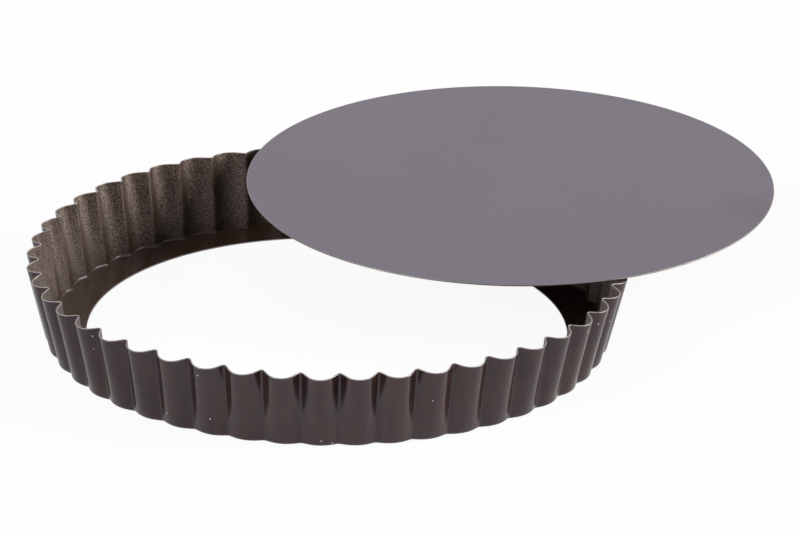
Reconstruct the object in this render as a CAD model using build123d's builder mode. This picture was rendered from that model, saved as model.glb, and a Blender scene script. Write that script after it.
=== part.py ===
from build123d import *
from math import acos, atan2, cos, degrees, hypot, pi, radians, sin, sqrt, tan
import os

# Fluted quiche tin with a loose base. All sizes are in millimetres.
# The ring stands on the XY plane with its axis on Z, and a flute crest points along +X.
# The loose base has been lifted out, and lies flat on the rim, pushed to one side.

# Driving sizes of the ring, which is pressed from one sheet
ring_sheet = 0.6
rim_diameter = 280.0
ring_height = 37.6
flute_count = 48
rim_flute_depth = 5.6
foot_diameter = 262.0
foot_flute_depth = 1.9
foot_bend_radius = 2.5
opening_diameter = 224.0

# The wall leans more at the crests than in the grooves, so the same height of sheet
# ends lower there. The ring's height is that of the grooves.
rim_crest_drop = 1.1

# Shape of a flute: a broad rounded crest, short straight flanks and a narrow groove.
# The first share is what the flanks take from the two bends, the second is the groove's bend.
flank_share = 0.09
groove_bend_share = 0.12

# Straight bands that follow the bend at the foot
bend_steps = 4

# Driving sizes of the loose base, and the place where it lies on the rim
base_sheet = 0.6
base_edge_clearance = 1.2
base_shift = 126.97
base_direction = 48.24

# Every cut runs past the faces that it leaves by this much.
cut_overrun = 1.0

# The outer skin's two lines: the radius where each meets the floor, and its rim's radius
# and height
rim_crest_radius = rim_diameter / 2
rim_crest_height = ring_height - rim_crest_drop
foot_crest_radius = foot_diameter / 2
crest_line = (foot_crest_radius, rim_crest_radius, rim_crest_height)
groove_line = (foot_crest_radius - foot_flute_depth, rim_crest_radius - rim_flute_depth, ring_height)
half_pitch_angle = pi / flute_count


def lean_of(line):
    """Angle by which a line of the wall leans outwards."""
    foot_radius, rim_radius, rim_height = line
    return atan2(rim_radius - foot_radius, rim_height)


def skin_radius(height, line, inset):
    """Radius of a skin at a height: first the bend at the foot, then the leaning wall.

    The inset is how deep the skin lies under the outer one: zero, or the sheet.
    """
    foot_radius = line[0]
    lean = lean_of(line)
    bend_angle = pi / 2 - lean
    setback = foot_bend_radius * tan(bend_angle / 2)
    bend_radius = foot_bend_radius - inset
    drop = foot_bend_radius - height
    if drop > bend_radius * cos(bend_angle):
        reach = sqrt(max(bend_radius**2 - drop**2, 0))
        return foot_radius - setback + reach
    return foot_radius + height * tan(lean) - inset / cos(lean)


def polar_point(radius, angle):
    """Point of the plane at a radius from the axis and an angle in radians."""
    return (radius * cos(angle), radius * sin(angle))


def fluted_outline(height, inset):
    """Draw the closed fluted outline of a skin at a height, in the sketch's plane."""
    crest_radius = skin_radius(height, crest_line, inset)
    groove_radius = skin_radius(height, groove_line, inset)
    depth = crest_radius - groove_radius
    mean_radius = (crest_radius + groove_radius) / 2
    half_pitch = half_pitch_angle * mean_radius

    # With no flank between them, the two bends would have radii of this sum, which is smaller
    # because the ring's own curve already turns the crests.
    ring_curve = (1 - 2 * groove_bend_share) * half_pitch**2 / mean_radius
    full_bend_sum = (half_pitch**2 + depth**2) / (2 * depth + ring_curve)
    bend_sum = full_bend_sum * (1 - flank_share)
    groove_bend = bend_sum * groove_bend_share + inset
    crest_bend = bend_sum * (1 - groove_bend_share) - inset

    # The flank is the line that touches the crest's circle and the groove's, and crosses over.
    crest_x = crest_radius - crest_bend
    groove_x, groove_y = polar_point(groove_radius + groove_bend, half_pitch_angle)
    centre_gap = hypot(groove_x - crest_x, groove_y)
    centre_angle = atan2(groove_y, groove_x - crest_x)
    turn = centre_angle - acos((crest_bend + groove_bend) / centre_gap)
    crest_end_x = crest_x + crest_bend * cos(turn)
    crest_end_y = crest_bend * sin(turn)
    groove_end_x = groove_x - groove_bend * cos(turn)
    groove_end_y = groove_y - groove_bend * sin(turn)
    groove_end_radius = hypot(groove_end_x, groove_end_y)
    groove_end_angle = atan2(groove_end_y, groove_end_x)
    crest_end_radius = hypot(crest_end_x, crest_end_y)
    crest_end_angle = atan2(crest_end_y, crest_end_x)

    pitch_angle = 2 * half_pitch_angle
    crest_start = polar_point(crest_end_radius, -crest_end_angle)
    crest_end = polar_point(crest_end_radius, crest_end_angle)
    groove_start = polar_point(groove_end_radius, groove_end_angle)
    groove_end = polar_point(groove_end_radius, pitch_angle - groove_end_angle)
    next_crest_start = polar_point(crest_end_radius, pitch_angle - crest_end_angle)
    with BuildLine(mode=Mode.PRIVATE) as flute:
        ThreePointArc(crest_start, polar_point(crest_radius, 0), crest_end)
        Line(crest_end, groove_start)
        ThreePointArc(groove_start, polar_point(groove_radius, half_pitch_angle), groove_end)
        Line(groove_end, next_crest_start)
    with PolarLocations(0, flute_count):
        add(flute.line)


def skin_levels(inset, top):
    """Heights of a skin's outlines: from its floor up the bend, then the top."""
    bend_angle = pi / 2 - lean_of(groove_line)
    bend_radius = foot_bend_radius - inset
    angles = [bend_angle * step / bend_steps for step in range(bend_steps + 1)]
    return [foot_bend_radius - bend_radius * cos(angle) for angle in angles] + [top]


# The rim is trimmed along a shallow cone, which sinks from the inside of the grooves
# to the outside of the crests.
rim_inner_radius = skin_radius(ring_height, groove_line, ring_sheet)
trim_slope = rim_crest_drop / (rim_crest_radius - rim_inner_radius)
trim_start = (rim_inner_radius - cut_overrun, ring_height + trim_slope * cut_overrun)
trim_end = (rim_crest_radius + cut_overrun, rim_crest_height - trim_slope * cut_overrun)
wall_top = ring_height + cut_overrun
cut_top = wall_top + cut_overrun

# The ring is what lies within its outer skin and outside its inner skin, under the trim.
with BuildPart() as fluted_ring:
    for level in skin_levels(0, wall_top):
        with BuildSketch(Plane.XY.offset(level)):
            with BuildLine():
                fluted_outline(level, 0)
            make_face()
    loft(ruled=True)
    for level in skin_levels(ring_sheet, cut_top):
        with BuildSketch(Plane.XY.offset(level)):
            with BuildLine():
                fluted_outline(level, ring_sheet)
            make_face()
    loft(ruled=True, mode=Mode.SUBTRACT)
    with BuildSketch(Plane.XZ):
        with BuildLine():
            Polyline(trim_start, trim_end, (trim_end[0], cut_top), (trim_start[0], cut_top), close=True)
        make_face()
    revolve(axis=Axis.Z, mode=Mode.SUBTRACT)

    # The ledge is open in the middle.
    with BuildSketch(Plane.XY.offset(-cut_overrun)):
        Circle(opening_diameter / 2)
    extrude(amount=ring_sheet + 2 * cut_overrun, mode=Mode.SUBTRACT)

# The base drops onto the ledge inside the bend at the foot of the grooves.
ledge_flat_radius = skin_radius(ring_sheet, groove_line, ring_sheet)
base_radius = ledge_flat_radius - base_edge_clearance
with BuildPart() as loose_base:
    with BuildSketch(Plane.XY.offset(ring_height)):
        with Locations(polar_point(base_shift, radians(base_direction))):
            Circle(base_radius)
    extrude(amount=base_sheet)

fluted_ring.part.label = "fluted_ring"
loose_base.part.label = "loose_base"

os.makedirs("parts", exist_ok=True)
export_step(fluted_ring.part, "parts/fluted_ring.step")
export_step(loose_base.part, "parts/loose_base.step")

print(f"crest line leans out by {degrees(lean_of(crest_line)):.1f} degrees")
print(f"groove line leans out by {degrees(lean_of(groove_line)):.1f} degrees")
print(f"flat of the ledge reaches out to a radius of {ledge_flat_radius:.2f} mm")
print(f"base radius {base_radius:.2f} mm, so it covers the opening by")
print(f"{base_radius - opening_diameter / 2:.2f} mm all round when it is seated")
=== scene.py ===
# %% [markdown]
# A fluted quiche tin with a loose base.
#
# The tin is two pieces of thin steel with a dark non-stick coat: a fluted ring with a narrow ledge
# inside its foot, and a flat round base that has been lifted out and laid across the rim.
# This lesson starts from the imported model, which fixes every size, and then gives both pieces
# their true sheet edges and their finish.

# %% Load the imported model
from math import atan2, cos, pi, radians, sin, tan

import bmesh
import bpy
from mathutils import Matrix, Vector


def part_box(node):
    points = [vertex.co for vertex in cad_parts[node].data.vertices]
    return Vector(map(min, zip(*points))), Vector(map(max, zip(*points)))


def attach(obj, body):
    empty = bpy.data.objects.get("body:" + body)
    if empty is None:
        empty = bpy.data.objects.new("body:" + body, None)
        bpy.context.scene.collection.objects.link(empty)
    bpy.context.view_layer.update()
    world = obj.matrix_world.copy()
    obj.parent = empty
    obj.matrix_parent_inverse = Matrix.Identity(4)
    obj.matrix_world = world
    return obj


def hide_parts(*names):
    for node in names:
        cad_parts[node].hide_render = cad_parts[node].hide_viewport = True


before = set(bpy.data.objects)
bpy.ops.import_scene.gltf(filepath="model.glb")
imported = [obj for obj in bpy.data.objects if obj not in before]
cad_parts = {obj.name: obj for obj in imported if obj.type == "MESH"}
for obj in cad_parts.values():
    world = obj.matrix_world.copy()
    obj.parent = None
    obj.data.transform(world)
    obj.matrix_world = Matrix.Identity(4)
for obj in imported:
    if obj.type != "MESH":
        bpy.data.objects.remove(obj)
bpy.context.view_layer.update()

# %% [markdown]
# The sizes of the tin.
#
# What the frame can tell is read from it, so the looks follow the model if it changes.
# The rest are the driving sizes of the pressing, in metres.

# %% Read the sizes
MM = 0.001
ring_low, ring_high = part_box("fluted_ring")
base_low, base_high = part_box("loose_base")

rim_radius = (ring_high.x - ring_low.x) / 2
ring_height = ring_high.z - ring_low.z
base_radius = (base_high.x - base_low.x) / 2
base_sheet = base_high.z - base_low.z
base_centre = (base_low + base_high) / 2

flute_count = 48
ring_sheet = 0.6 * MM
rim_flute_depth = 5.6 * MM
rim_crest_drop = 1.1 * MM
foot_radius = 131.0 * MM
foot_flute_depth = 1.9 * MM
foot_bend_radius = 2.5 * MM
opening_radius = 112.0 * MM
flank_share = 0.09
groove_bend_share = 0.12
edge_round = 0.12 * MM

# Points nearer to each other than this are made one when a mesh is closed.
weld_distance = 0.004 * MM

print(f"rim radius {rim_radius / MM:.2f} mm, height {ring_height / MM:.2f} mm")
print(f"base radius {base_radius / MM:.2f} mm, sheet {base_sheet / MM:.2f} mm")

# %% [markdown]
# The camera.
#
# The tin was photographed from far away with a long lens, a little over 20 degrees above the table,
# so its far rim is hardly smaller than its near one. The lens is given for a sensor 36 mm wide.

# %% Place the camera
camera_spot = Vector((33.54, -2914.5, 1263.0)) * MM
camera_azimuth = radians(0.5515)
camera_pitch = 0.39928
camera_roll = 0.01579
camera_lens = 306.53

camera_data = bpy.data.cameras.new("tin_camera")
camera_data.lens = camera_lens
camera_data.sensor_width = 36.0
camera_data.clip_end = 30.0
camera = bpy.data.objects.new("tin_camera", camera_data)
bpy.context.scene.collection.objects.link(camera)
about_axis = Matrix.Rotation(camera_azimuth, 4, "Z")
looking_down = Matrix.Rotation(pi / 2 - camera_pitch, 4, "X")
tilted = Matrix.Rotation(camera_roll, 4, "Z")
camera.matrix_world = about_axis @ Matrix.Translation(camera_spot) @ looking_down @ tilted
bpy.context.scene.camera = camera
print("camera", [round(value, 3) for value in camera.matrix_world.translation])

# %% [markdown]
# Formulas as nodes.
#
# Both the shape of the ring and the finishes are made with node trees, and a formula drawn with
# separate Math nodes is hard to follow. A small class fixes that: it holds one number that flows
# through a tree, and every sum or product of such numbers adds the Math node that works it out.


# %% Write formulas as node trees
def plug(tree, slot, value):
    """Feed a socket from a term or another socket, or set it to a plain value."""
    if isinstance(value, Term):
        tree.links.new(value.socket, slot)
    elif isinstance(value, bpy.types.NodeSocket):
        tree.links.new(value, slot)
    else:
        slot.default_value = value


def place(tree, kind, inputs=None, **settings):
    """Add a node, choose its settings, and feed its inputs by their names."""
    made = tree.nodes.new(kind)
    for name, value in settings.items():
        setattr(made, name, value)
    for name, value in (inputs or {}).items():
        plug(tree, made.inputs[name], value)
    return made


class Term:
    """A number in a node tree, which sums and products turn into Math nodes."""

    def __init__(self, tree, socket):
        self.tree = tree
        self.socket = socket

    def math(self, operation, *values):
        """Add one Math node that works on the values given."""
        node = place(self.tree, "ShaderNodeMath", operation=operation)
        for slot, value in zip(node.inputs, values):
            plug(self.tree, slot, value)
        return Term(self.tree, node.outputs[0])

    def __add__(self, other):
        return self.math("ADD", self, other)

    def __radd__(self, other):
        return self.math("ADD", other, self)

    def __sub__(self, other):
        return self.math("SUBTRACT", self, other)

    def __rsub__(self, other):
        return self.math("SUBTRACT", other, self)

    def __mul__(self, other):
        return self.math("MULTIPLY", self, other)

    def __rmul__(self, other):
        return self.math("MULTIPLY", other, self)

    def __truediv__(self, other):
        return self.math("DIVIDE", self, other)

    def __rtruediv__(self, other):
        return self.math("DIVIDE", other, self)

    def of(self, operation, *others):
        """A function of this term, such as its sine, or its power of another."""
        return self.math(operation, self, *others)

    def within(self, low, high):
        """This term, held between two values."""
        return self.of("MAXIMUM", low).of("MINIMUM", high)


def mixed(start, end, share):
    """The value that lies a share of the way from one term to another."""
    return start + (end - start) * share


def parts_of(tree, vector):
    """The X, Y and Z of a vector as terms."""
    node = place(tree, "ShaderNodeSeparateXYZ", {0: vector})
    return [Term(tree, socket) for socket in node.outputs]


def input_socket(tree, name, kind, value=None):
    """Add a named input to a tree, with its usual value."""
    made = tree.interface.new_socket(name=name, in_out="INPUT", socket_type=kind)
    if value is not None:
        made.default_value = value


print("formulas ready")

# %% [markdown]
# The section of the ring.
#
# Cut through the ring at one place and the sheet shows as a thin closed outline: the ledge, the
# bend at the foot, the leaning wall, and the cut edge at the rim. It is drawn twice, once through a
# crest of the flutes and once through a groove, row by row. The wall leans more at the crests, so
# the same height of sheet ends lower there, and the rim follows a shallow cone. Each row also
# knows how deep it lies in the sheet and which finish it carries, so the materials can follow it.

# %% Draw the section through a crest and a groove
crest_line = (foot_radius, rim_radius, ring_height - rim_crest_drop)
groove_line = (foot_radius - foot_flute_depth, rim_radius - rim_flute_depth, ring_height)


def lean_of(line):
    """Angle by which a line of the wall leans outwards."""
    return atan2(line[1] - line[0], line[2])


rim_inner_radius = groove_line[1] - ring_sheet / cos(lean_of(groove_line))
trim_slope = rim_crest_drop / (rim_radius - rim_inner_radius)


def bend_point(line, inset, share):
    """Radius and height on the bend at the foot, from the floor at 0 to the wall at 1."""
    angle = pi / 2 - lean_of(line)
    centre = line[0] - foot_bend_radius * tan(angle / 2)
    reach = foot_bend_radius - inset
    turn = angle * share
    return Vector((centre + reach * sin(turn), foot_bend_radius - reach * cos(turn)))


def wall_point(line, inset, below):
    """Radius and height on the wall, at a depth below the trimmed rim."""
    lean = lean_of(line)
    start = line[0] - inset / cos(lean)
    trim_start = ring_height - trim_slope * (start - rim_inner_radius)
    height = (trim_start - below) / (1 + trim_slope * tan(lean))
    return Vector((start + height * tan(lean), height))


def quarter(steps, inwards=False):
    """Sine and cosine along a quarter turn, which rounds one edge of the sheet."""
    turns = [pi / 2 * step / steps for step in range(steps + 1)]
    return [(sin(turn), cos(turn)) for turn in (turns[::-1] if inwards else turns)]


def ring_rows():
    """Rows of the closed section: crest point, groove point, inset, inner, cut edge, round."""
    rows = []
    edge_steps = 3
    bend_rows = 8
    wall_shares = [0.8, 0.6, 0.4, 0.2, 0.06]

    def add(point, inset, inner, edge):
        rows.append((point(crest_line), point(groove_line), inset, inner, edge, 0.0))

    def add_opening(out, height, inset, edge):
        circle = Vector((opening_radius + out, height))
        under = circle - Vector((MM, 0))
        rows.append((circle, under, inset, inset / ring_sheet, edge, 1.0))

    def skin(inset, inner):
        first = len(rows)
        add_opening(6 * edge_round, inset, inset, 0.0)
        for step in range(bend_rows + 1):
            add(lambda line: bend_point(line, inset, step / bend_rows), inset, inner, 0.0)
        for share in wall_shares:
            add(lambda line: wall_point(line, inset, share * ring_height), inset, inner, 0.0)
        add(lambda line: wall_point(line, inset, 4 * edge_round), inset, inner, 0.0)
        return first

    skin(0.0, 0.0)
    for sine, cosine in quarter(edge_steps):
        inset = edge_round * (1 - cosine)
        add(lambda line: wall_point(line, inset, edge_round * (1 - sine)), inset, 0.0, 1.0)
    for sine, cosine in quarter(edge_steps, inwards=True):
        inset = ring_sheet - edge_round * (1 - cosine)
        add(lambda line: wall_point(line, inset, edge_round * (1 - sine)), inset, 1.0, 1.0)
    first_inner = skin(ring_sheet, 1.0)
    rows[first_inner:] = rows[first_inner:][::-1]
    for sine, cosine in quarter(edge_steps):
        height = ring_sheet - edge_round * (1 - cosine)
        add_opening(edge_round * (1 - sine), height, ring_sheet, 1.0)
    for sine, cosine in quarter(edge_steps, inwards=True):
        add_opening(edge_round * (1 - sine), edge_round * (1 - cosine), 0.0, 1.0)
    return rows


def section_object(name, rows):
    """A string of points through the rows, with what each row knows as point attributes."""
    mesh = bpy.data.meshes.new(name)
    mesh.from_pydata([(row[0].x, 0.0, row[0].y) for row in rows], [], [])
    groove = mesh.attributes.new("groove", "FLOAT_VECTOR", "POINT")
    groove.data.foreach_set("vector", [v for row in rows for v in (row[1].x, 0.0, row[1].y)])
    for index, title in enumerate(("inset", "inner", "cut_edge", "round"), start=2):
        values = mesh.attributes.new(title, "FLOAT", "POINT")
        values.data.foreach_set("value", [row[index] for row in rows])
    made = bpy.data.objects.new(name, mesh)
    bpy.context.scene.collection.objects.link(made)
    return made


ring_section = ring_rows()
print("rows in the ring's section", len(ring_section))

# %% [markdown]
# Fluting the sheet with Geometry Nodes.
#
# All 48 flutes follow one rule, so the ring is a single Geometry Nodes tree. It lays a grid round
# the axis, finds for every point its row of the section and its place within a flute, and moves
# the point there. A flute is a broad arc over the crest, a short straight flank and a tight arc in
# the groove, each meeting the next without a kink. That is how a press bends sheet steel, and a
# plain sine wave would look wrong at the rim.


# %% Build the fluting tree
def sampled(tree, source, kind, value, row):
    """What the section holds at a row, as one Sample Index node."""
    inputs = {"Geometry": source, "Index": row, "Value": value}
    return place(tree, "GeometryNodeSampleIndex", inputs, data_type=kind).outputs[0]


def attribute(tree, name, kind):
    """A field that reads a named attribute."""
    node = place(tree, "GeometryNodeInputNamedAttribute", {"Name": name}, data_type=kind)
    return node.outputs[0]


def stored(tree, geometry, name, value):
    """The geometry with one more named value on its points."""
    inputs = {"Geometry": geometry, "Name": name, "Value": value}
    return place(tree, "GeometryNodeStoreNamedAttribute", inputs).outputs[0]


def fluting_tree():
    """Turn a section into a closed fluted ring round the Z axis."""
    tree = bpy.data.node_groups.new("Fluted Sheet", "GeometryNodeTree")
    tree.is_modifier = True
    sheet_inputs = (
        ("Section", "NodeSocketGeometry", None),
        ("Flutes", "NodeSocketInt", 48),
        ("Steps per Flute", "NodeSocketInt", 32),
        ("Flank Share", "NodeSocketFloat", 0.1),
        ("Groove Bend Share", "NodeSocketFloat", 0.2),
        ("Crest Steps Share", "NodeSocketFloat", 0.5),
        ("Flank Steps Share", "NodeSocketFloat", 0.125),
        ("Material", "NodeSocketMaterial", None),
    )
    for title, kind, value in sheet_inputs:
        input_socket(tree, title, kind, value)
    tree.interface.new_socket(name="Sheet", in_out="OUTPUT", socket_type="NodeSocketGeometry")
    start = tree.nodes.new("NodeGroupInput")
    given = {socket.name: Term(tree, socket) for socket in start.outputs if socket.name}
    section = start.outputs["Section"]
    flutes = given["Flutes"]
    steps = given["Steps per Flute"]

    size = place(tree, "GeometryNodeAttributeDomainSize", {"Geometry": section})
    row_count = Term(tree, size.outputs["Point Count"])
    column_count = flutes * steps
    grid_inputs = {
        "Size X": 1.0,
        "Size Y": 1.0,
        "Vertices X": column_count + 1,
        "Vertices Y": row_count + 1,
    }
    grid = place(tree, "GeometryNodeMeshGrid", grid_inputs)
    spot = place(tree, "GeometryNodeInputPosition").outputs[0]
    grid_x, grid_y, _ = parts_of(tree, spot)
    column = ((grid_x + 0.5) * column_count).of("ROUND")
    row = ((grid_y + 0.5) * row_count).of("ROUND").of("MODULO", row_count)

    def held(name):
        return Term(tree, sampled(tree, section, "FLOAT", attribute(tree, name, "FLOAT"), row))

    crest = sampled(tree, section, "FLOAT_VECTOR", spot, row)
    groove_field = attribute(tree, "groove", "FLOAT_VECTOR")
    groove = sampled(tree, section, "FLOAT_VECTOR", groove_field, row)
    crest_radius, _, crest_height = parts_of(tree, crest)
    groove_radius, _, groove_height = parts_of(tree, groove)
    inset = held("inset")

    half_angle = pi / flutes
    depth = crest_radius - groove_radius
    mean_radius = (crest_radius + groove_radius) / 2.0
    half_pitch = half_angle * mean_radius
    groove_share = given["Groove Bend Share"]
    ring_curve = (1.0 - 2.0 * groove_share) * half_pitch * half_pitch / mean_radius
    full_bend_sum = (half_pitch * half_pitch + depth * depth) / (2.0 * depth + ring_curve)
    bend_sum = full_bend_sum * (1.0 - given["Flank Share"])
    groove_bend = bend_sum * groove_share + inset
    crest_bend = bend_sum * (1.0 - groove_share) - inset
    crest_x = crest_radius - crest_bend
    groove_x = (groove_radius + groove_bend) * half_angle.of("COSINE")
    groove_y = (groove_radius + groove_bend) * half_angle.of("SINE")
    gap_x = groove_x - crest_x
    gap = (gap_x * gap_x + groove_y * groove_y).of("SQRT")
    facing = ((crest_bend + groove_bend) / gap).within(-1.0, 1.0).of("ARCCOSINE")
    turn = groove_y.of("ARCTAN2", gap_x) - facing

    along = column / steps
    flute = (along + 0.5).of("FLOOR")
    side = along - flute
    reach = side.of("ABSOLUTE") * 2.0
    crest_steps = given["Crest Steps Share"]
    flank_steps = given["Flank Steps Share"]
    groove_start = crest_steps + flank_steps
    on_crest = (reach / crest_steps).within(0.0, 1.0)
    on_flank = ((reach - crest_steps) / flank_steps).within(0.0, 1.0)
    on_groove = ((reach - groove_start) / (1.0 - groove_start)).within(0.0, 1.0)

    crest_turn = turn * on_crest
    crest_end_x = crest_x + crest_bend * crest_turn.of("COSINE")
    crest_end_y = crest_bend * crest_turn.of("SINE")
    groove_turn = mixed(turn, half_angle, on_groove)
    groove_end_x = groove_x - groove_bend * groove_turn.of("COSINE")
    groove_end_y = groove_y - groove_bend * groove_turn.of("SINE")
    x = mixed(crest_end_x, groove_end_x, on_flank)
    y = mixed(crest_end_y, groove_end_y, on_flank) * side.of("SIGN")
    radius = (x * x + y * y).of("SQRT")
    share = ((crest_radius - radius) / depth).within(0.0, 1.0)
    height = mixed(crest_height, groove_height, share)
    roundness = held("round")
    turn_of_side = side * 2.0 * half_angle
    x = mixed(x, crest_radius * turn_of_side.of("COSINE"), roundness)
    y = mixed(y, crest_radius * turn_of_side.of("SINE"), roundness)

    flat_spot = place(tree, "ShaderNodeCombineXYZ", {0: x, 1: y, 2: height}).outputs[0]
    turn_inputs = {"Vector": flat_spot, "Angle": flute * 2.0 * half_angle}
    turned = place(tree, "ShaderNodeVectorRotate", turn_inputs, rotation_type="Z_AXIS")
    sheet = stored(tree, grid.outputs["Mesh"], "groove_share", share * (1.0 - roundness))
    for name in ("inner", "cut_edge"):
        sheet = stored(tree, sheet, name, held(name))
    moved_inputs = {"Geometry": sheet, "Position": turned.outputs[0]}
    moved = place(tree, "GeometryNodeSetPosition", moved_inputs)
    merge_inputs = {"Geometry": moved.outputs[0], "Distance": weld_distance}
    merged = place(tree, "GeometryNodeMergeByDistance", merge_inputs)
    smooth = place(tree, "GeometryNodeSetShadeSmooth", {"Geometry": merged.outputs[0]})
    real = place(tree, "GeometryNodeRealizeInstances", {"Geometry": smooth.outputs[0]})
    finish_inputs = {"Geometry": real.outputs[0], "Material": given["Material"]}
    finished = place(tree, "GeometryNodeSetMaterial", finish_inputs)
    end = tree.nodes.new("NodeGroupOutput")
    tree.links.new(finished.outputs[0], end.inputs[0])
    print("fluting tree has", len(tree.nodes), "nodes")
    return tree


def baked(made, tree, values):
    """Run a tree on an object, keep its result as a plain mesh, and drop the modifier."""
    modifier = made.modifiers.new(tree.name, "NODES")
    modifier.node_group = tree
    for item in tree.interface.items_tree:
        if item.name in values:
            modifier[item.identifier] = values[item.name]
    bpy.context.view_layer.update()
    shaped = made.evaluated_get(bpy.context.evaluated_depsgraph_get())
    mesh = bpy.data.meshes.new_from_object(shaped)
    made.modifiers.clear()
    made.data = mesh


def report(made):
    """Print how large a piece's mesh is and whether it is closed."""
    shape = bmesh.new()
    shape.from_mesh(made.data)
    open_edges = sum(not edge.is_manifold for edge in shape.edges)
    triangles = sum(len(face.verts) - 2 for face in shape.faces)
    volume = shape.calc_volume(signed=True) / MM**3
    shape.free()
    print(f"{made.name}: {triangles} triangles, {open_edges} open edges, {volume:.0f} mm3")


# %% [markdown]
# Effects of the coats.
#
# A coat is never one flat colour. Each effect below is a node group with its own sizes as inputs,
# so the ring and the base can share the grain, the patches and the wear with different values.
# They all read a position on the piece, which keeps their sizes true in metres.


# %% Helpers for the effects
def effect(name, inputs, outputs):
    """Start a shader group, and give its tree, its inputs as terms, and its output node."""
    tree = bpy.data.node_groups.new(name, "ShaderNodeTree")
    for title, kind, value in inputs:
        input_socket(tree, title, kind, value)
    for title in outputs:
        tree.interface.new_socket(name=title, in_out="OUTPUT", socket_type="NodeSocketFloat")
    start = tree.nodes.new("NodeGroupInput")
    given = {socket.name: Term(tree, socket) for socket in start.outputs if socket.name}
    return tree, given, tree.nodes.new("NodeGroupOutput")


def use(tree, group, inputs):
    """Place an effect in a tree, and give its outputs as terms by name."""
    node = tree.nodes.new("ShaderNodeGroup")
    node.node_tree = group
    for name, value in inputs.items():
        plug(tree, node.inputs[name], value)
    return {socket.name: Term(tree, socket) for socket in node.outputs}


def eased(term, low, high):
    """A soft step from 0 to 1 as a term goes from a low value to a high one."""
    inputs = {"Value": term, "From Min": low, "From Max": high}
    node = place(term.tree, "ShaderNodeMapRange", inputs, interpolation_type="SMOOTHSTEP")
    return Term(term.tree, node.outputs["Result"])


def scaled(tree, vector, scale):
    """A vector made longer or shorter by a term."""
    node = place(tree, "ShaderNodeVectorMath", {0: vector, "Scale": scale}, operation="SCALE")
    return node.outputs[0]


def noise(tree, vector, detail, scale=1.0):
    """Soft noise round 0.5 that changes over about one unit of the vector."""
    inputs = {"Vector": vector, "Scale": scale, "Detail": detail, "Roughness": 0.55}
    return Term(tree, place(tree, "ShaderNodeTexNoise", inputs).outputs[0])


# %% Grain of a sprayed coat
grain_effect, given, end = effect(
    "Coat Grain",
    [("Position", "NodeSocketVector", None), ("Grain Size", "NodeSocketFloat", 0.8 * MM)],
    ["Grain", "Height"],
)
grain_spot = scaled(grain_effect, given["Position"], 1.0 / given["Grain Size"])
pebble_inputs = {"Vector": grain_spot, "Scale": 1.0, "Smoothness": 0.4}
pebbles = place(grain_effect, "ShaderNodeTexVoronoi", pebble_inputs, feature="SMOOTH_F1")
pebble_distance = Term(grain_effect, pebbles.outputs["Distance"])
grain_noise = noise(grain_effect, grain_spot, 2.0, 1.9)
grain_height = 0.9 - pebble_distance + (grain_noise - 0.5) * 0.9
plug(grain_effect, end.inputs["Height"], grain_height)
plug(grain_effect, end.inputs["Grain"], eased(grain_height, 0.36, 0.72))
print(grain_effect.name, "has", len(grain_effect.nodes), "nodes")

# %% Cloudy patches that wash and oven use leave
patch_effect, given, end = effect(
    "Soft Patches",
    [("Position", "NodeSocketVector", None), ("Patch Size", "NodeSocketFloat", 30 * MM)],
    ["Patches"],
)
patch_spot = scaled(patch_effect, given["Position"], 1.0 / given["Patch Size"])
patch_noise = noise(patch_effect, patch_spot, 3.0)
plug(patch_effect, end.inputs["Patches"], eased(patch_noise, 0.3, 0.7))
print(patch_effect.name, "has", len(patch_effect.nodes), "nodes")

# %% Marks that the press drew down the wall
mark_effect, given, end = effect(
    "Drawing Marks",
    [("Position", "NodeSocketVector", None), ("Mark Width", "NodeSocketFloat", 1 * MM)],
    ["Marks"],
)
mark_spot = scaled(mark_effect, given["Position"], 1.0 / given["Mark Width"])
stretch_inputs = {0: mark_spot, 1: (1.0, 1.0, 0.04)}
stretched = place(mark_effect, "ShaderNodeVectorMath", stretch_inputs, operation="MULTIPLY")
plug(mark_effect, end.inputs["Marks"], noise(mark_effect, stretched.outputs[0], 2.0))
print(mark_effect.name, "has", len(mark_effect.nodes), "nodes")

# %% Specks of flour and dust
speck_effect, given, end = effect(
    "Dust Specks",
    [
        ("Position", "NodeSocketVector", None),
        ("Spacing", "NodeSocketFloat", 5 * MM),
        ("Speck Radius", "NodeSocketFloat", 0.3 * MM),
        ("Kept Share", "NodeSocketFloat", 0.3),
    ],
    ["Specks"],
)
speck_spot = scaled(speck_effect, given["Position"], 1.0 / given["Spacing"])
cells = place(speck_effect, "ShaderNodeTexVoronoi", {"Vector": speck_spot, "Scale": 1.0})
cell_value = parts_of(speck_effect, cells.outputs["Color"])[0]
kept = cell_value.of("LESS_THAN", given["Kept Share"])
cell_distance = Term(speck_effect, cells.outputs["Distance"]) * given["Spacing"]
speck_edge = given["Speck Radius"]
speck_mask = (1.0 - eased(cell_distance, speck_edge * 0.6, speck_edge)) * kept
plug(speck_effect, end.inputs["Specks"], speck_mask)
print(speck_effect.name, "has", len(speck_effect.nodes), "nodes")

# %% Coat worn off a cut edge
wear_effect, given, end = effect(
    "Worn Edge",
    [
        ("Position", "NodeSocketVector", None),
        ("Edge", "NodeSocketFloat", 0.0),
        ("Nick Size", "NodeSocketFloat", 2 * MM),
        ("Wear", "NodeSocketFloat", 0.5),
    ],
    ["Bare"],
)
wear_spot = scaled(wear_effect, given["Position"], 1.0 / given["Nick Size"])
nicks = (noise(wear_effect, wear_spot, 3.0) - 0.5) * 1.4
worn = given["Edge"] + nicks * given["Wear"] * given["Edge"]
plug(wear_effect, end.inputs["Bare"], eased(worn, 0.5, 0.95))
print(wear_effect.name, "has", len(wear_effect.nodes), "nodes")

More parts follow.
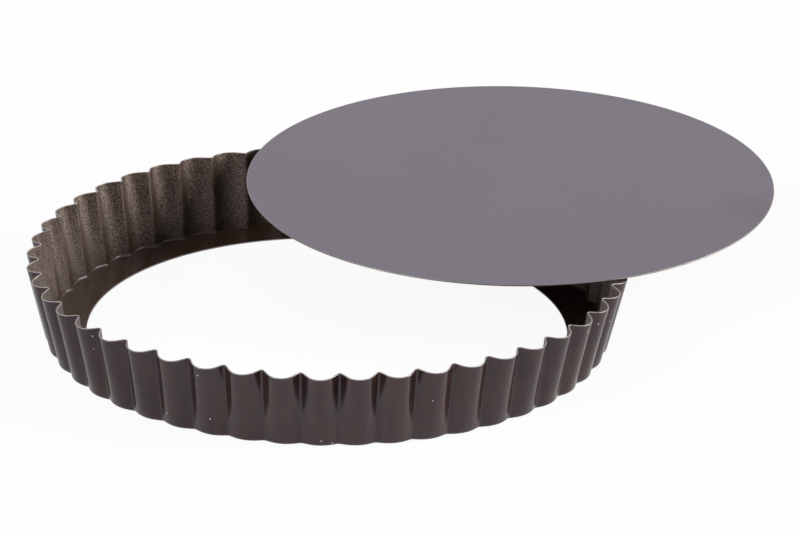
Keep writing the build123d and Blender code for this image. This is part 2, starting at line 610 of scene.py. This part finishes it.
# %% [markdown]
# The coats.
#
# A dark brown non-stick coat covers both pieces. Outside and below it is smooth and satin, so broad
# faces show a soft sheen of the white room, and folds that reflect each other go almost black.
# Inside the wall it is sprayed rough and holds metal flakes, which gives a fine brown grain that
# glints a little where it faces the light. The colours are those of the coat itself, and the sheen
# comes from the shader.


# %% Helpers for the coats
def new_material(name):
    """A material with only its Principled shader and its output."""
    made = bpy.data.materials.new(name)
    made.use_nodes = True
    made.node_tree.nodes.clear()
    shader = made.node_tree.nodes.new("ShaderNodeBsdfPrincipled")
    output = made.node_tree.nodes.new("ShaderNodeOutputMaterial")
    made.node_tree.links.new(shader.outputs[0], output.inputs["Surface"])
    return made, made.node_tree, shader


def on_mesh(tree, name):
    """A value that the mesh carries on its points."""
    node = place(tree, "ShaderNodeAttribute", attribute_name=name)
    return Term(tree, node.outputs["Fac"])


def blended(tree, share, first, second):
    """The colour that lies a share of the way from one colour to another."""
    node = place(tree, "ShaderNodeMix", {0: share, 6: first, 7: second}, data_type="RGBA")
    return node.outputs[2]


# %% Colours of the coats
coat_brown = (0.03, 0.013, 0.008, 1.0)
coat_plum = (0.015, 0.007, 0.011, 1.0)
ledge_brown = (0.045, 0.026, 0.017, 1.0)
grain_dark = (0.02, 0.01, 0.003, 1.0)
grain_light = (0.25, 0.188, 0.146, 1.0)
bare_steel = (0.32, 0.3, 0.29, 1.0)
speck_white = (0.8, 0.84, 0.86, 1.0)
coat_sheen_tint = (1.0, 0.88, 0.95, 1.0)
base_plum = (0.088, 0.068, 0.103, 1.0)
base_grey = (0.083, 0.07, 0.099, 1.0)
smudge_brown = (0.07, 0.046, 0.062, 1.0)
print("ring brown", coat_brown[:3], "base plum", base_plum[:3])

# %% Coat the ring
grain_roughness = 0.37
bare_roughness = 0.35
flake_share = 0.85
mark_relief = 0.05
relief_depth = 0.15 * MM
coat_ior = 1.55
ring_coat, ring_nodes, ring_shader = new_material("ring_coat")
ring_spot = place(ring_nodes, "ShaderNodeTexCoord").outputs["Object"]
height = parts_of(ring_nodes, ring_spot)[2]
inner = on_mesh(ring_nodes, "inner")
inside = eased(inner, 0.4, 0.6)
grained = inside * eased(height, 1.1 * MM, 2.2 * MM)

grain = use(ring_nodes, grain_effect, {"Position": ring_spot, "Grain Size": 0.55 * MM})
patches = use(ring_nodes, patch_effect, {"Position": ring_spot, "Patch Size": 28 * MM})
marks = use(ring_nodes, mark_effect, {"Position": ring_spot, "Mark Width": 2.5 * MM})
speck_inputs = {"Position": ring_spot, "Speck Radius": 0.36 * MM, "Kept Share": 0.24}
specks = use(ring_nodes, speck_effect, speck_inputs)
edge_inputs = {"Position": ring_spot, "Edge": on_mesh(ring_nodes, "cut_edge"), "Wear": 0.35}
bare = use(ring_nodes, wear_effect, edge_inputs)["Bare"]

bands = eased(marks["Marks"] + (patches["Patches"] - 0.5) * 0.2, 0.3, 0.7)
outer_colour = blended(ring_nodes, bands, coat_brown, coat_plum)
smooth_colour = blended(ring_nodes, inside, outer_colour, ledge_brown)
grain_colour = blended(ring_nodes, grain["Grain"], grain_dark, grain_light)
colour = blended(ring_nodes, grained, smooth_colour, grain_colour)
dust = specks["Specks"] * (1.0 - inside)
colour = blended(ring_nodes, dust, colour, speck_white)
colour = blended(ring_nodes, bare, colour, bare_steel)
plug(ring_nodes, ring_shader.inputs["Base Color"], colour)

smooth_roughness = 0.12 + patches["Patches"] * 0.05 + marks["Marks"] * 0.05
roughness = mixed(smooth_roughness, grain_roughness, grained)
roughness = mixed(roughness, bare_roughness, bare.of("MAXIMUM", dust))
plug(ring_nodes, ring_shader.inputs["Roughness"], roughness)
flakes = grained * grain["Grain"] * flake_share
plug(ring_nodes, ring_shader.inputs["Metallic"], bare.of("MAXIMUM", flakes))
ring_shader.inputs["Specular Tint"].default_value = coat_sheen_tint
ring_shader.inputs["IOR"].default_value = coat_ior

smooth_height = marks["Marks"] * mark_relief
relief = mixed(smooth_height, grain["Height"], grained)
bump_inputs = {"Strength": 1.0, "Distance": relief_depth, "Height": relief}
bump = place(ring_nodes, "ShaderNodeBump", bump_inputs)
plug(ring_nodes, ring_shader.inputs["Normal"], bump.outputs[0])
print("ring coat has", len(ring_nodes.nodes), "nodes")

# %% Coat the base
base_coat, base_nodes, base_shader = new_material("base_coat")
base_spot = place(base_nodes, "ShaderNodeTexCoord").outputs["Object"]
patches = use(base_nodes, patch_effect, {"Position": base_spot, "Patch Size": 60 * MM})
fine = use(base_nodes, grain_effect, {"Position": base_spot, "Grain Size": 0.55 * MM})
edge_inputs = {"Position": base_spot, "Edge": on_mesh(base_nodes, "cut_edge"), "Wear": 0.35}
bare = use(base_nodes, wear_effect, edge_inputs)["Bare"]
colour = blended(base_nodes, patches["Patches"], base_plum, base_grey)

# A faint smudge near the edge, on the side of +X
smudge_spot = base_centre + Vector((115, -27, 0)) * MM
smudge_strength = 0.7
smudge_inputs = {0: base_spot, 1: smudge_spot}
smudge = place(base_nodes, "ShaderNodeVectorMath", smudge_inputs, operation="DISTANCE")
smudge_distance = Term(base_nodes, smudge.outputs["Value"])
smudge_share = (1.0 - eased(smudge_distance, 3 * MM, 23 * MM)) * smudge_strength
colour = blended(base_nodes, smudge_share, colour, smudge_brown)
colour = blended(base_nodes, bare, colour, bare_steel)
plug(base_nodes, base_shader.inputs["Base Color"], colour)
roughness = 0.26 + patches["Patches"] * 0.04 + fine["Grain"] * 0.03
plug(base_nodes, base_shader.inputs["Roughness"], mixed(roughness, bare_roughness, bare))
plug(base_nodes, base_shader.inputs["Metallic"], bare)
base_shader.inputs["Specular Tint"].default_value = coat_sheen_tint
bump_inputs = {"Strength": 0.05, "Distance": 0.03 * MM, "Height": fine["Height"]}
bump = place(base_nodes, "ShaderNodeBump", bump_inputs)
plug(base_nodes, base_shader.inputs["Normal"], bump.outputs[0])
print("base coat has", len(base_nodes.nodes), "nodes")

# %% [markdown]
# The ring.
#
# The tree runs once on the section, and its result is kept as a plain mesh in the place of the
# packed ring. More steps go to the crest than to the flank, because only the bends need them.

# %% Make the ring
ring = section_object("fluted_ring_sheet", ring_section)
ring_values = {
    "Flutes": flute_count,
    "Steps per Flute": 32,
    "Flank Share": flank_share,
    "Groove Bend Share": groove_bend_share,
    "Crest Steps Share": 0.5,
    "Flank Steps Share": 0.125,
    "Material": ring_coat,
}
baked(ring, fluting_tree(), ring_values)
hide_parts("fluted_ring")
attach(ring, "ring")
report(ring)

# %% [markdown]
# The loose base.
#
# It is a flat disc, cut from the same sheet, with edges that the cutting and washing have softened.
# Half of its section is drawn from the middle to the edge and back, and spun round.


# %% Make the base
def base_object():
    """A flat round sheet with softened edges, lying where the model has it."""
    low = base_centre.z - base_sheet / 2
    high = base_centre.z + base_sheet / 2
    inside = base_radius - edge_round
    points = [(0.0, low), (base_radius - 5 * edge_round, low)]
    for sine, cosine in quarter(4):
        points.append((inside + edge_round * sine, low + edge_round * (1 - cosine)))
    for sine, cosine in quarter(4, inwards=True):
        points.append((inside + edge_round * sine, high - edge_round * (1 - cosine)))
    points += [(base_radius - 5 * edge_round, high), (0.0, high)]
    shape = bmesh.new()
    verts = [shape.verts.new((radius, 0.0, height)) for radius, height in points]
    edges = [shape.edges.new(pair) for pair in zip(verts, verts[1:])]
    about = {"cent": (0, 0, 0), "axis": (0, 0, 1), "angle": 2 * pi}
    bmesh.ops.spin(shape, geom=verts + edges, steps=384, use_merge=True, **about)
    bmesh.ops.remove_doubles(shape, verts=shape.verts, dist=weld_distance)
    bmesh.ops.recalc_face_normals(shape, faces=shape.faces)
    edge_layer = shape.verts.layers.float.new("cut_edge")
    for vert in shape.verts:
        vert[edge_layer] = float(vert.co.xy.length > inside - edge_round / 2)
    for face in shape.faces:
        face.smooth = True
    bmesh.ops.translate(shape, verts=shape.verts, vec=(base_centre.x, base_centre.y, 0.0))
    mesh = bpy.data.meshes.new("loose_base_sheet")
    shape.to_mesh(mesh)
    shape.free()
    mesh.materials.append(base_coat)
    made = bpy.data.objects.new("loose_base_sheet", mesh)
    bpy.context.scene.collection.objects.link(made)
    return made


base = base_object()
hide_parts("loose_base")
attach(base, "base")
report(base)

# %% [markdown]
# The stage.
#
# The tin stands alone on white. The room is dim, with one broad low window on the right and a
# weaker one on the left. The right window makes the inside of the left wall brighter than the back,
# and it draws the thin bright line along the bend at the foot. The floor glows for the camera, so
# that it shows as white, and its own matt paint adds the tin's soft shadow on top of the glow.

# %% Light the stage
scene = bpy.context.scene
scene.view_settings.view_transform = "Standard"


def shown_directly(tree):
    """Two terms: 1 for rays straight from the camera, and 1 for reflected or clear ones."""
    path = place(tree, "ShaderNodeLightPath")
    camera_ray = Term(tree, path.outputs["Is Camera Ray"])
    glossy_ray = Term(tree, path.outputs["Is Glossy Ray"])
    clear_ray = Term(tree, path.outputs["Is Transmission Ray"])
    return camera_ray, glossy_ray.of("MAXIMUM", clear_ray)


room_light = 0.28
world = bpy.data.worlds.new("white_room")
scene.world = world
world.use_nodes = True
background = world.node_tree.nodes["Background"]
background.inputs["Color"].default_value = (1, 1, 1, 1)
camera_ray, mirrored_ray = shown_directly(world.node_tree)
outlook = place(world.node_tree, "ShaderNodeTexCoord").outputs["Generated"]
backwards = eased(parts_of(world.node_tree, outlook)[1], -0.2, 0.5)
whiteness = camera_ray.of("MAXIMUM", mirrored_ray * backwards)
plug(world.node_tree, background.inputs["Strength"], mixed(room_light, 1.0, whiteness))


def add_window(name, azimuth, height, width, strength, colour):
    """A far window as a soft sun: where it stands, how wide it looks, and its light."""
    data = bpy.data.lights.new(name, "SUN")
    data.energy = strength * pi
    data.angle = radians(width)
    data.color = colour
    made = bpy.data.objects.new(name, data)
    scene.collection.objects.link(made)
    made.rotation_euler = (0, radians(90 - height), radians(azimuth))
    print(f"{name} adds {strength * sin(radians(height)):.2f} to the light on the floor")


add_window("right_window", -4, 23, 36, 1.24, (1.0, 0.98, 0.94))
add_window("left_window", 215, 30, 30, 0.56, (0.96, 0.98, 1.0))

floor_half = 6.0
floor_mesh = bpy.data.meshes.new("floor")
corners = [(-1, -1), (1, -1), (1, 1), (-1, 1)]
floor_mesh.from_pydata([(x * floor_half, y * floor_half, 0) for x, y in corners], [], [(0, 1, 2, 3)])
floor = bpy.data.objects.new("floor", floor_mesh)
scene.collection.objects.link(floor)

camera_glow = 0.93
mirrored_glow = 0.53
floor_white = 0.88
floor_paint, floor_nodes, floor_shader = new_material("floor_paint")
camera_ray, mirrored_ray = shown_directly(floor_nodes)
glow = camera_ray * camera_glow + mirrored_ray * mirrored_glow
matt = (1.0 - glow) * floor_white
matt_colour = place(floor_nodes, "ShaderNodeCombineColor", {0: matt, 1: matt, 2: matt})
plug(floor_nodes, floor_shader.inputs["Base Color"], matt_colour.outputs[0])
plug(floor_nodes, floor_shader.inputs["Emission Strength"], glow)
floor_shader.inputs["Emission Color"].default_value = (1, 1, 1, 1)
floor_shader.inputs["Roughness"].default_value = 1.0
floor_shader.inputs["Specular IOR Level"].default_value = 0.0
floor_mesh.materials.append(floor_paint)
print("stage ready")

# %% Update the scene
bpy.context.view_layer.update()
